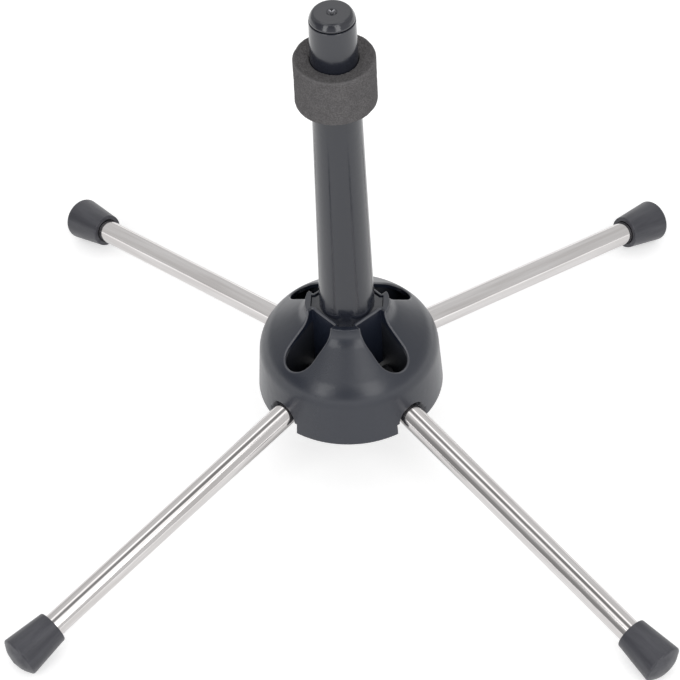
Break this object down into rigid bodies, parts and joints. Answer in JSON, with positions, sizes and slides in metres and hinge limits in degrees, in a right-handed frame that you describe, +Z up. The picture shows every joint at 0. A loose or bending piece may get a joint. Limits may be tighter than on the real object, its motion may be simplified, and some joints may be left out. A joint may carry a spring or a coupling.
{
  "type": "clarinet stand",
  "caption": "Folding clarinet stand: moulded hub on hinged steel legs with rubber feet, and a tapered lift-out mast with a foam ring that holds the bell.",
  "frame": {"origin": "on the floor, under the axis of the mast", "axes": "+Z up along the mast; the legs point between the X and Y axes, two towards -Y at the front"},
  "size_m": [0.2166, 0.2166, 0.1888],
  "materials": {
    "hub_plastic": "satin black moulded plastic",
    "mast_plastic": "satin black moulded plastic",
    "foam": "fine closed-cell foam, dark warm grey",
    "leg_steel": "polished stainless steel",
    "hinge_plastic": "matt black moulded plastic",
    "pin_steel": "bright steel",
    "foot_rubber": "matt dark grey rubber"
  },
  "bodies": {
    "hub": {"hub": "hub_plastic", "pivot_pin_front_left": "pin_steel", "pivot_pin_front_right": "pin_steel", "pivot_pin_back_right": "pin_steel", "pivot_pin_back_left": "pin_steel"},
    "mast": {"mast_foot": "mast_plastic", "mast_tube": "mast_plastic", "mast_cap": "mast_plastic", "foam_ring": "foam"},
    "leg_front_left": {"leg_tube_front_left": "leg_steel", "leg_hinge_end_front_left": "hinge_plastic", "rubber_foot_front_left": "foot_rubber"},
    "leg_front_right": {"leg_tube_front_right": "leg_steel", "leg_hinge_end_front_right": "hinge_plastic", "rubber_foot_front_right": "foot_rubber"},
    "leg_back_right": {"leg_tube_back_right": "leg_steel", "leg_hinge_end_back_right": "hinge_plastic", "rubber_foot_back_right": "foot_rubber"},
    "leg_back_left": {"leg_tube_back_left": "leg_steel", "leg_hinge_end_back_left": "hinge_plastic", "rubber_foot_back_left": "foot_rubber"}
  },
  "joints": [
    {"name": "mast_lift", "type": "slide", "parent": "hub", "child": "mast", "axis": [0, 0, 1], "range_m": [0, 0.03]},
    {"name": "fold_front_left", "type": "hinge", "parent": "hub", "child": "leg_front_left", "pos_m": [-0.0099, -0.0099, 0.03777], "axis": [0.7071, -0.7071, 0], "range_deg": [0, 76.5]},
    {"name": "fold_front_right", "type": "hinge", "parent": "hub", "child": "leg_front_right", "pos_m": [0.0099, -0.0099, 0.03777], "axis": [0.7071, 0.7071, 0], "range_deg": [0, 76.5]},
    {"name": "fold_back_right", "type": "hinge", "parent": "hub", "child": "leg_back_right", "pos_m": [0.0099, 0.0099, 0.03777], "axis": [-0.7071, 0.7071, 0], "range_deg": [0, 76.5]},
    {"name": "fold_back_left", "type": "hinge", "parent": "hub", "child": "leg_back_left", "pos_m": [-0.0099, 0.0099, 0.03777], "axis": [-0.7071, -0.7071, 0], "range_deg": [0, 76.5]}
  ]
}
